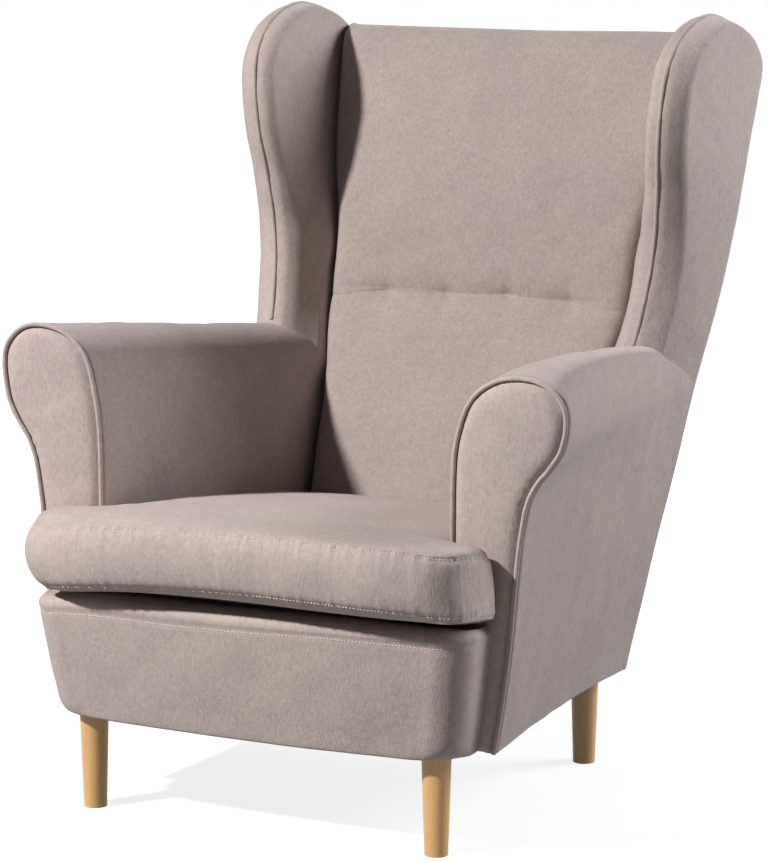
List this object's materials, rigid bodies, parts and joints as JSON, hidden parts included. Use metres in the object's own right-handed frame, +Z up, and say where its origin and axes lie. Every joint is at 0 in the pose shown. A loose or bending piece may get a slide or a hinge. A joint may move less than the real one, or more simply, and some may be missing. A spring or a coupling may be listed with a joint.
{
  "type": "fireside wing chair",
  "caption": "High-backed upholstered fireside chair with rolled arms, curved wings, a loose T-shaped seat cushion and turned wooden legs.",
  "frame": {"origin": "on the floor, at the centre of the chair's bounding box in X and Y", "axes": "+X to the viewer's right from the front, which is the sitter's left, +Y from the front of the seat to the back, +Z up"},
  "size_m": [0.822, 1.002, 1.0264],
  "materials": {
    "cover": "soft brushed velour with a faint mottled nap",
    "leg_wood": "satin clear lacquer",
    "frame_wood": "raw sawn",
    "steel": "plain oiled",
    "webbing": "woven elastic",
    "dust_sheet": "matt non-woven"
  },
  "bodies": {
    "frame": {"leg_front_left": "leg_wood", "leg_front_right": "leg_wood", "leg_rear_left": "leg_wood", "leg_rear_right": "leg_wood", "leg_bolt_front_left": "steel", "leg_bolt_front_right": "steel", "leg_bolt_rear_left": "steel", "leg_bolt_rear_right": "steel", "leg_nut_front_left": "steel", "leg_nut_front_right": "steel", "leg_nut_rear_left": "steel", "leg_nut_rear_right": "steel", "front_rail": "frame_wood", "rear_rail": "frame_wood", "side_rail_right": "frame_wood", "side_rail_left": "frame_wood", "corner_block_front_right": "frame_wood", "corner_block_front_left": "frame_wood", "corner_block_rear_right": "frame_wood", "corner_block_rear_left": "frame_wood", "seat_spring_1": "steel", "seat_spring_2": "steel", "seat_spring_3": "steel", "seat_spring_4": "steel", "spring_clip_front_1": "steel", "spring_clip_front_2": "steel", "spring_clip_front_3": "steel", "spring_clip_front_4": "steel", "spring_clip_rear_1": "steel", "spring_clip_rear_2": "steel", "spring_clip_rear_3": "steel", "spring_clip_rear_4": "steel", "arm_post_right": "frame_wood", "arm_post_left": "frame_wood", "arm_rail_right": "frame_wood", "arm_rail_left": "frame_wood", "wing_board_right": "frame_wood", "wing_board_left": "frame_wood", "back_upright_right": "frame_wood", "back_upright_left": "frame_wood", "back_top_rail": "frame_wood", "back_bottom_rail": "frame_wood", "back_webbing_lower": "webbing", "back_webbing_upper": "webbing", "arm_pad_right": "cover", "arm_pad_left": "cover", "arm_facing_right": "cover", "arm_facing_left": "cover", "arm_piping_right": "cover", "arm_piping_left": "cover", "wing_pad_right": "cover", "wing_pad_left": "cover", "wing_piping_right": "cover", "wing_piping_left": "cover", "back_pad": "cover", "outside_back": "cover", "base_apron": "cover", "seat_deck": "cover", "dust_cover": "dust_sheet"},
    "seat_cushion": {"seat_cushion": "cover"}
  },
  "joints": [
    {"name": "seat_cushion_slide", "type": "slide", "parent": "frame", "child": "seat_cushion", "axis": [0, -0.996, 0.0896], "range_m": [0, 0.6]}
  ]
}
